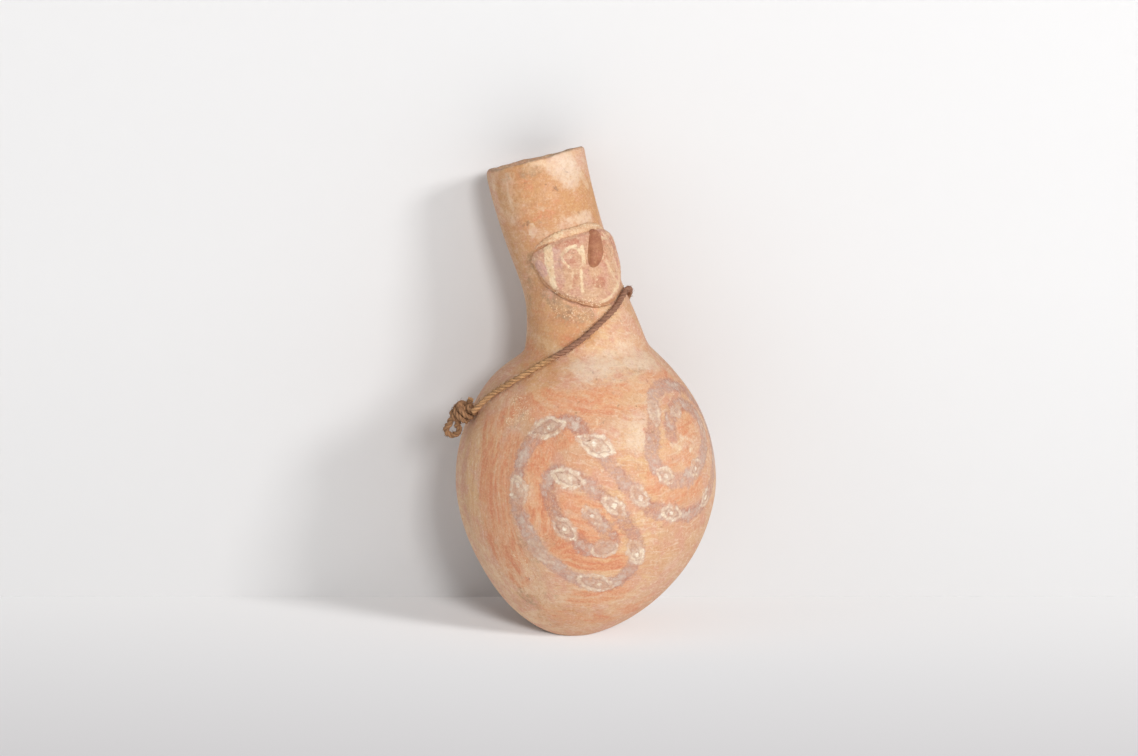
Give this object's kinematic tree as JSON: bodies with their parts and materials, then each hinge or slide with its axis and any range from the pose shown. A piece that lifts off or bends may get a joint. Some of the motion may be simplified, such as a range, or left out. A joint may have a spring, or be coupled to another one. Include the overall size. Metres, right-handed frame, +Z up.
{
  "type": "figural clay bottle",
  "caption": "Hand-built earthenware bottle with a round painted body, a leaning neck that carries a modelled face, and a plant-fibre cord tied round it.",
  "frame": {"origin": "centre of the small flattened base", "axes": "+Z up, square to the base; -Y is the side that the face looks to; the neck leans back towards +Y and towards -X"},
  "size_m": [0.1093, 0.107, 0.1999],
  "materials": {
    "buff_earthenware": "burnished, unglazed",
    "pink_slip": "matt slip paint",
    "cream_slip": "matt slip paint",
    "red_brown_slip": "matt slip paint",
    "plant_fibre": "twisted, frayed"
  },
  "bodies": {
    "root": {"base_bowl": "buff_earthenware", "shoulder_dome": "buff_earthenware", "head_tube": "buff_earthenware", "spout_tube": "buff_earthenware", "mouth_rim": "buff_earthenware", "face_panel": "pink_slip", "brow_band": "cream_slip", "nose": "red_brown_slip", "cord_loop": "plant_fibre", "cord_knot": "plant_fibre", "cord_bight": "plant_fibre"}
  },
  "joints": []
}
